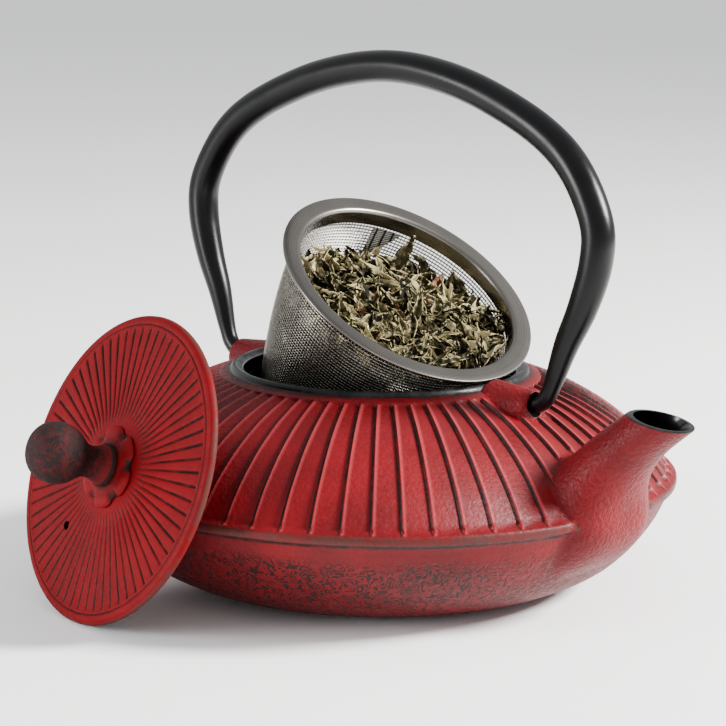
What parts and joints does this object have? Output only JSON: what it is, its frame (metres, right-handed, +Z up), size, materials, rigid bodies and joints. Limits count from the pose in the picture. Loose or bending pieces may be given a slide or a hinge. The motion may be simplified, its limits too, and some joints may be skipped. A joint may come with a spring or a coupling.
{
  "type": "teapot",
  "caption": "Low round cast iron teapot with a swinging bail handle, a loose lid with a ball knob leaning on the pot, and a mesh infuser of tea leaves tilted in the mouth.",
  "frame": {"origin": "centre of the pot's flat base, on the surface it stands on", "axes": "+X towards the spout, +Z up"},
  "size_m": [0.1828, 0.1836, 0.1411],
  "materials": {
    "red_enamel": "red enamel over rough cast iron, wiped dark in the grooves",
    "black_powder_coat": "satin black powder coat",
    "red_enamel_lid": "red enamel with dark wiped grooves",
    "worn_iron_knob": "dark brown iron with red enamel worn off",
    "plated_steel": "zinc plated",
    "stainless_rim": "brushed stainless steel",
    "stainless_mesh": "woven stainless wire mesh",
    "tea_leaves": "dry curled green tea leaves"
  },
  "bodies": {
    "pot": {"pot_body": "red_enamel"},
    "bail": {"bail_handle": "black_powder_coat"},
    "lid": {"lid_plate": "red_enamel_lid", "knob_rosette": "red_enamel_lid", "lid_knob": "worn_iron_knob", "knob_washer": "plated_steel", "knob_screw": "plated_steel"},
    "infuser": {"infuser_rim": "stainless_rim", "infuser_wall": "stainless_mesh", "infuser_seam": "stainless_mesh", "infuser_floor": "stainless_mesh", "tea_leaves": "tea_leaves"}
  },
  "joints": [
    {"name": "bail_swing", "type": "hinge", "parent": "pot", "child": "bail", "pos_m": [0, 0, 0.0537], "axis": [1, 0, 0], "range_deg": [-98, 80]},
    {"name": "lid_lift", "type": "slide", "parent": "pot", "child": "lid", "axis": [-0.1761, -0.923, 0.342], "range_m": [0, 0.12]},
    {"name": "infuser_lift", "type": "slide", "parent": "pot", "child": "infuser", "axis": [0.5756, -0.0302, 0.8171], "range_m": [0, 0.034]}
  ]
}
